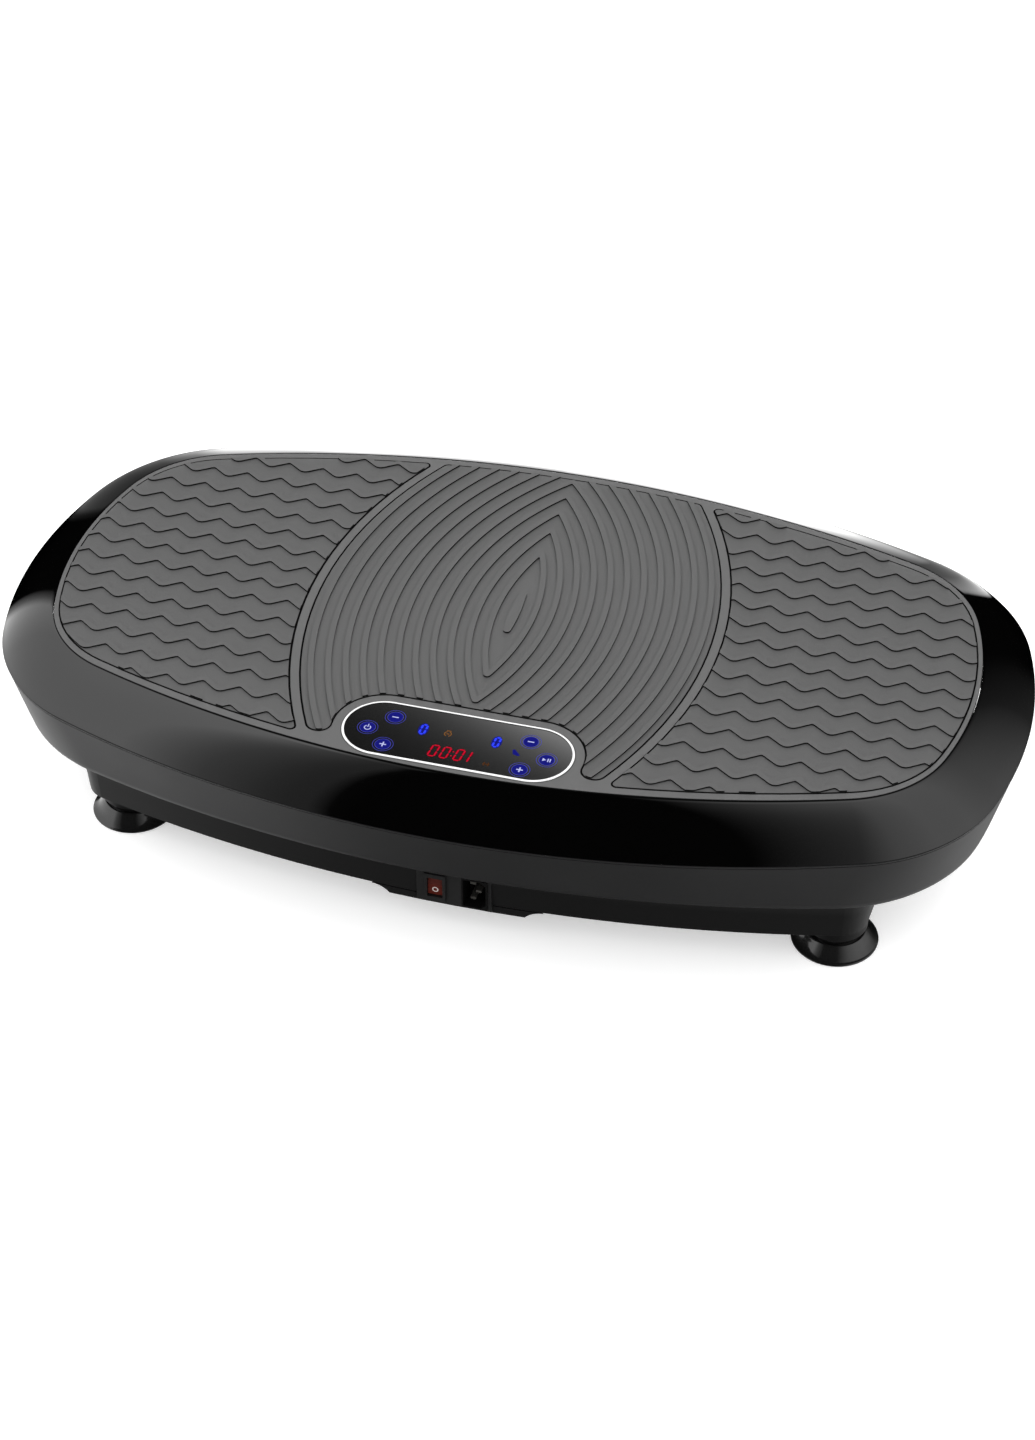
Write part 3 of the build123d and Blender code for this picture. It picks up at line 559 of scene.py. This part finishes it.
def raised(name, pad, bands):
    """Ribs cut to a pad: flat tops, and walls that end just inside the pad."""
    points, loops = [], []
    for loop in [pad] + bands:
        loops.append(list(range(len(points), len(points) + len(loop))))
        points += [Vector(p) for p in loop]
    verts, _, faces, _, _, sources = delaunay_2d_cdt(points, [], loops, 1, 1e-5, True)
    bm = bmesh.new()
    made = [bm.verts.new((v.x, v.y, RIB_TOP)) for v in verts]
    for face, source in zip(faces, sources):
        if 0 in source and len(source) > 1:
            bm.faces.new([made[i] for i in face])
    bmesh.ops.delete(bm, geom=[v for v in bm.verts if not v.link_faces], context="VERTS")
    bm.normal_update()
    bmesh.ops.reverse_faces(bm, faces=[f for f in bm.faces if f.normal.z < 0])
    rim = [e for e in bm.edges if e.is_boundary]
    sides = bmesh.ops.extrude_edge_only(bm, edges=rim)["geom"]
    for v in sides:
        if isinstance(v, bmesh.types.BMVert):
            v.co.z = MAT_TOP - 0.05
    bmesh.ops.scale(bm, vec=(MM, MM, MM), verts=bm.verts)
    mesh = bpy.data.meshes.new(name)
    bm.to_mesh(mesh)
    bm.free()
    mesh.polygons.foreach_set("use_smooth", [True] * len(mesh.polygons))
    mesh.set_sharp_from_angle(angle=radians(50))
    mesh.materials.append(mat_rubber)
    obj = bpy.data.objects.new(name, mesh)
    scene.collection.objects.link(obj)
    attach(obj, "deck")
    return obj


WAVE_ROWS = range(-8, 10)
raised("ribs_left", pads[0], [wave_band(-1, row) for row in WAVE_ROWS])
raised("ribs_right", pads[2], [wave_band(1, row) for row in WAVE_ROWS])
halves = []
for k in range(RINGS):
    first = None if k == 0 else RING_FIRST + RING_PITCH * (k - 1)
    halves += [ring_band(first, LEAF_HALF if k == 0 else first + RING_W, side) for side in (-1, 1)]
raised("ribs_middle", pads[1], halves)

# ---- feet -----------------------------------------------------------------------------------
FOOT_PROFILE = [(4.2, 15.9), (17.6, 16.0), (18.0, 15.6), (18.0, 10.4), (18.3, 10.2), (20.6, 10.9), (21.2, 11.0),
                (21.8, 10.6), (22.2, 9.8), (22.9, 8.9), (23.9, 7.4), (25.2, 5.4), (26.6, 3.7), (28.4, 2.1),
                (30.2, 1.3), (30.8, 1.05), (31.0, 0.7), (30.9, 0.25), (30.5, 0.0), (26.0, 0.0), (20.0, 2.6),
                (13.6, 4.8), (6.0, 6.2), (0.01, 6.5)]
for name in ("foot_front_left", "foot_front_right", "foot_rear_left", "foot_rear_right"):
    low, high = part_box(name)
    x, y = (low.x + high.x) / 2 / MM, (low.y + high.y) / 2 / MM
    verts, faces = lathe(FOOT_PROFILE, x, y)
    cup = piece(name.replace("foot", "cup"), verts, faces, "base", foot_rubber, sharp=45)
    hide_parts(name)


# ---- lit symbols on the glass ---------------------------------------------------------------
LOW, HIGH, THICK = 0.03, 0.07, 0.03  # a glow lies under its figure


class Drawing:
    """Thin raised shapes on the glass, in millimetres from the middle of the panel."""

    def __init__(self, lift=LOW):
        self.verts, self.faces, self.lift = [], [], lift

    def polygon(self, points):
        n, start = len(points), len(self.verts)
        for lift in (0.0, THICK):
            self.verts += [(x, PANEL_Y + y, GLASS_Z + self.lift + lift) for x, y in points]
        self.faces.append(tuple(start + n + i for i in range(n)))
        for i in range(n):
            j = (i + 1) % n
            self.faces.append((start + i, start + j, start + n + j, start + n + i))

    def ring(self, x, y, r, width, first=0.0, last=360.0, steps=48):
        for i in range(steps):
            a, b = (radians(first + (last - first) * (i + j) / steps) for j in (0, 1))
            q = r + width
            self.polygon([(x + r * cos(a), y + r * sin(a)), (x + q * cos(a), y + q * sin(a)),
                          (x + q * cos(b), y + q * sin(b)), (x + r * cos(b), y + r * sin(b))])

    def bar(self, x0, y0, x1, y1, width):
        d = hypot(x1 - x0, y1 - y0)
        ux, uy = (x1 - x0) / d * width / 2, (y1 - y0) / d * width / 2
        self.polygon([(x0 - uy, y0 + ux), (x0 + uy, y0 - ux), (x1 + uy, y1 - ux), (x1 - uy, y1 + ux)])

    def done(self, name, material):
        return piece(name, self.verts, self.faces, "deck", material, smooth=False)


blue = glow("blue_glow", (0.10, 0.11, 0.8), 0.7)
soft_blue = glow("soft_blue_glow", (0.01, 0.012, 0.30), 0.75)
bright_blue = glow("bright_blue_glow", (0.03, 0.06, 1.0), 1.25)
white = glow("white_glow", (0.6, 0.63, 1.0), 1.0)
red = glow("red_glow", (0.75, 0.002, 0.03), 0.9)
soft_red = glow("soft_red_glow", (0.16, 0.0, 0.006), 0.5)
orange = glow("orange_glow", (0.32, 0.13, 0.03), 0.8)
dim_orange = glow("dim_orange_glow", (0.12, 0.04, 0.008), 0.8)

KEYS = {"minus": ((-48.0, 13.0), (48.3, 12.2)), "plus": ((-48.0, -16.4), (48.3, -17.6)),
        "power": ((-63.3, -2.0),), "play": ((63.4, -3.3),)}
KEY_R, KEY_OUTER_R = 5.2, 6.95
circles, halos, symbols = Drawing(HIGH), Drawing(LOW), Drawing(HIGH)
for kind, places in KEYS.items():
    for x, y in places:
        circles.ring(x, y, KEY_R, 0.35)
        circles.ring(x, y, KEY_OUTER_R, 0.3)
        halos.ring(x, y, 0.01, 5.0)
        if kind in ("minus", "plus"):
            symbols.bar(x - 2.3, y, x + 2.3, y, 0.95)
        if kind == "plus":
            symbols.bar(x, y - 2.4, x, y + 2.4, 0.95)
        if kind == "power":
            symbols.ring(x, y - 0.3, 1.8, 0.7, -240, 60)
            symbols.bar(x, y + 0.2, x, y + 3.4, 0.7)
        if kind == "play":
            symbols.polygon([(x - 3.0, y - 1.6), (x - 0.4, y), (x - 3.0, y + 1.6)])
            symbols.bar(x + 0.9, y - 1.7, x + 0.9, y + 1.7, 0.8)
            symbols.bar(x + 2.4, y - 1.7, x + 2.4, y + 1.7, 0.8)
circles.done("key_rings", blue)
halos.done("key_halos", soft_blue)
symbols.done("key_symbols", white)

# seven-segment digits, slanted
SEGMENTS = {"0": "abcdef", "1": "bc"}


def digit(drawing, which, x, y, width, height, stroke, slant):
    """One digit whose lower left corner is at x, y."""
    half = stroke / 2
    corners = {"a": (0, 2, 1, 2), "b": (1, 2, 1, 1), "c": (1, 1, 1, 0), "d": (0, 0, 1, 0), "e": (0, 1, 0, 0),
               "f": (0, 2, 0, 1)}
    for name in SEGMENTS[which]:
        x0, y0, x1, y1 = (v * size for v, size in zip(corners[name], (width, height / 2) * 2))
        d = hypot(x1 - x0, y1 - y0)
        ux, uy = (x1 - x0) / d, (y1 - y0) / d
        gap = stroke * 0.2
        path = []
        for along, across in ((gap, 0), (gap + half, half), (d - gap - half, half), (d - gap, 0),
                              (d - gap - half, -half), (gap + half, -half)):
            px, py = x0 + ux * along - uy * across, y0 + uy * along + ux * across
            path.append((x + px + slant * py, y + py))
        drawing.polygon(path[::-1])


CLOCK_Y, CLOCK_X = -19.4, (-15.8, -7.6, 2.0, 7.2)
DIGIT_W, DIGIT_H, STROKE, GLOW_STROKE, SLANT = 4.6, 11.2, 1.15, 2.6, 0.12
DOT_R = 0.55
digits, glare = Drawing(HIGH), Drawing(LOW)
for which, x in zip("0001", CLOCK_X):
    digit(digits, which, x, CLOCK_Y, DIGIT_W, DIGIT_H, STROKE, SLANT)
    digit(glare, which, x, CLOCK_Y, DIGIT_W, DIGIT_H, GLOW_STROKE, SLANT)
for y in (3.4, 7.8):
    turns = [t * pi / 4 for t in range(8)]
    digits.polygon([(-0.5 + SLANT * y + DOT_R * cos(t), CLOCK_Y + y + DOT_R * sin(t)) for t in turns])
digits.done("clock_digits", red)
glare.done("clock_glow", soft_red)

# one level figure on each side, each in front of its own glow
levels, spill = Drawing(HIGH), Drawing(LOW)
for x in (-25.9, 25.9):
    digit(levels, "0", x - 1.9, 0.9, 3.4, 9.6, 1.5, 0.06)
    spill.polygon([(x + 3.6 * cos(t * pi / 16), 5.7 + 6.4 * sin(t * pi / 16)) for t in range(32)])
levels.done("level_figures", bright_blue)
spill.done("level_glow", soft_blue)

marks = Drawing()
marks.polygon([(38.4, 1.2), (40.2, 1.6), (44.8, -3.4), (43.4, -4.4), (39.6, -3.2)])
marks.done("heart_mark", soft_blue)

dots = Drawing()
dots.ring(-8.4, 5.4, 2.0, 0.7, -70, 70, 12)
dots.ring(-8.4, 5.4, 2.0, 0.7, 110, 250, 12)
dots.bar(-10.0, 8.6, -6.8, 8.6, 0.8)
dots.bar(-9.4, 5.4, -7.4, 5.4, 0.9)
dots.done("mode_mark", orange)
dots = Drawing()
dots.ring(25.0, -18.0, 1.6, 0.7, -60, 60, 10)
dots.ring(25.0, -18.0, 1.6, 0.7, 120, 240, 10)
dots.bar(23.6, -18.0, 26.4, -18.0, 0.9)
dots.done("timer_mark", dim_orange)

# ---- mark on the rocker switch --------------------------------------------------------------
# a printed circle on the lower half of the rocker, which stands upright when the switch is off
low, high = (tuple(v / MM for v in p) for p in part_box("power_rocker"))
rocker_x, rocker_z, face_y = (low[0] + high[0]) / 2, (low[2] + high[2]) / 2, low[1]
verts, faces = [], []
STEPS, MARK_R, MARK_DROP, MARK_LIFT = 40, (1.5, 2.2), 3.2, 0.06
for lift in (0.0, MARK_LIFT):
    for r in MARK_R:
        turns = [2 * pi * i / STEPS for i in range(STEPS)]
        verts += [(rocker_x + r * cos(t), face_y - lift, rocker_z - MARK_DROP + r * sin(t)) for t in turns]
for i in range(STEPS):
    j = (i + 1) % STEPS
    for a, b in ((0, 1), (1, 3), (3, 2), (2, 0)):
        faces.append((a * STEPS + i, a * STEPS + j, b * STEPS + j, b * STEPS + i))
mark_white = finish("mark_white", (0.4, 0.36, 0.34), 0.5)
piece("rocker_mark", verts, faces, "power_rocker", mark_white)

# ---- floor, background and light ------------------------------------------------------------
FLOOR_GLOW = 0.35  # keeps the shadow short
floor_white = bpy.data.materials.new("floor_white")
floor_white.use_nodes = True
bsdf = floor_white.node_tree.nodes["Principled BSDF"]
bsdf.inputs["Base Color"].default_value = (0.9, 0.9, 0.9, 1)
bsdf.inputs["Roughness"].default_value = 0.9
bsdf.inputs["Specular IOR Level"].default_value = 0.0
bsdf.inputs["Emission Color"].default_value = (1, 1, 1, 1)
bsdf.inputs["Emission Strength"].default_value = FLOOR_GLOW
mesh = bpy.data.meshes.new("floor")
mesh.from_pydata([(-6, -6, -0.0005), (6, -6, -0.0005), (6, 6, -0.0005), (-6, 6, -0.0005)], [], [(0, 1, 2, 3)])
mesh.materials.append(floor_white)
floor = bpy.data.objects.new("floor", mesh)
scene.collection.objects.link(floor)
floor.visible_glossy = False

world = bpy.data.worlds.new("studio")
scene.world = world
world.use_nodes = True
tree = world.node_tree
tree.nodes.clear()
link = tree.links.new
out = tree.nodes.new("ShaderNodeOutputWorld")
paths = tree.nodes.new("ShaderNodeLightPath")


def backdrop(color, strength):
    node = tree.nodes.new("ShaderNodeBackground")
    node.inputs["Color"].default_value = (*color, 1)
    node.inputs["Strength"].default_value = strength
    return node.outputs["Background"]


def choose(factor, first, second):
    node = tree.nodes.new("ShaderNodeMixShader")
    link(factor, node.inputs[0])
    link(first, node.inputs[1])
    link(second, node.inputs[2])
    return node.outputs[0]


def math_node(kind, *values):
    node = tree.nodes.new("ShaderNodeMath")
    node.operation = kind
    for i, value in enumerate(values):
        if isinstance(value, (int, float)):
            node.inputs[i].default_value = value
        else:
            link(value, node.inputs[i])
    return node.outputs[0]


# what a gloss surface sees: light panels round the studio, set out by the way the surface faces
halfway = tree.nodes.new("ShaderNodeVectorMath")
halfway.operation = "ADD"
link(tree.nodes.new("ShaderNodeTexCoord").outputs["Generated"], halfway.inputs[0])
halfway.inputs[1].default_value = back
unit = tree.nodes.new("ShaderNodeVectorMath")
unit.operation = "NORMALIZE"
link(halfway.outputs[0], unit.inputs[0])
parts = tree.nodes.new("ShaderNodeSeparateXYZ")
link(unit.outputs[0], parts.inputs[0])
facing = math_node("ARCTAN2", parts.outputs["X"], math_node("MULTIPLY", parts.outputs["Y"], -1.0))
around = math_node("MULTIPLY_ADD", facing, 0.5 / pi, 0.5)
panels = tree.nodes.new("ShaderNodeValToRGB")
link(around, panels.inputs["Fac"])
# each is (azimuth the surface faces in degrees, brightness); 0 is the front, 90 the right-hand end
PANELS = ((-180, 10.0), (-154, 10.5), (-147, 6.5), (-138, 4.6), (-128, 1.6), (-117, 0.45), (-107, 0.27),
          (-95, 0.3), (-94, 0.0), (-77.6, 0.0), (-76.8, 2.3), (-62, 2.0), (-31, 2.6), (-21, 2.7), (-16, 1.1),
          (-10.5, 0.45), (-7.8, 0.38), (-7.0, 0.0), (18.5, 0.0), (23.5, 0.4), (36, 1.5), (50, 2.05),
          (64, 1.95), (80, 1.1), (93, 0.15), (102, 0.0), (123, 0.0), (124, 2.8), (132, 0.85), (141, 0.6),
          (147, 3.2), (154, 12.0))
# how level the surface is (1 is quite level) where each light starts, and how fast it comes or goes
RIM_LEVEL, RIM_GAIN = 0.995, 150.0
OVER_LEVEL, OVER_GAIN, BEHIND_GAIN = 0.985, 33.0, 8.0
FLAT_LEVEL, FLAT_GAIN = 0.9975, 1000.0
VEIL_X, VEIL_Y, VEIL_MOST, VEIL_LIGHT = 15.0, 272.0, 1.6, 3.2
ROOM_LIGHT, BACKDROP_LIGHT = 1.7, 1.0
ramp = panels.color_ramp
BRIGHTEST = max(value for _, value in PANELS)
for angle, value in PANELS[2:]:
    ramp.elements.new(0.5 + angle / 360)
for element, (angle, value) in zip(ramp.elements, PANELS):
    element.position = 0.5 + angle / 360
    element.color = (value / BRIGHTEST, value / BRIGHTEST, value / BRIGHTEST, 1)
steep = math_node("MULTIPLY", math_node("SUBTRACT", RIM_LEVEL, parts.outputs["Z"]), RIM_GAIN)
steep.node.use_clamp = True
# the panels behind the object stop well short of overhead, so flat glass doesn't mirror them from the front
behind = math_node("MULTIPLY", parts.outputs["Y"], BEHIND_GAIN)
behind.node.use_clamp = True
below = math_node("SUBTRACT", OVER_LEVEL, parts.outputs["Z"])
overhead = math_node("SUBTRACT", 1.0, math_node("MULTIPLY", below, OVER_GAIN))
overhead.node.use_clamp = True
steep = math_node("MULTIPLY", steep, math_node("SUBTRACT", 1.0, math_node("MULTIPLY", behind, overhead)))
# a soft panel behind and to the right, which flat glass alone sees
level = math_node("MULTIPLY", math_node("SUBTRACT", parts.outputs["Z"], FLAT_LEVEL), FLAT_GAIN)
level.node.use_clamp = True
slope = math_node("MULTIPLY_ADD", parts.outputs["X"], VEIL_X, math_node("MULTIPLY", parts.outputs["Y"], VEIL_Y))
veil = math_node("MULTIPLY", math_node("MINIMUM", math_node("EXPONENT", slope), VEIL_MOST), VEIL_LIGHT)
panel_light = tree.nodes.new("ShaderNodeBackground")
link(math_node("ADD", math_node("MULTIPLY", math_node("MULTIPLY", panels.outputs["Color"], steep), BRIGHTEST),
               math_node("MULTIPLY", veil, level)), panel_light.inputs["Strength"])
studio = choose(paths.outputs["Is Glossy Ray"], backdrop((1, 1, 1), ROOM_LIGHT), panel_light.outputs[0])
link(choose(paths.outputs["Is Camera Ray"], studio, backdrop((1, 1, 1), BACKDROP_LIGHT)), out.inputs["Surface"])
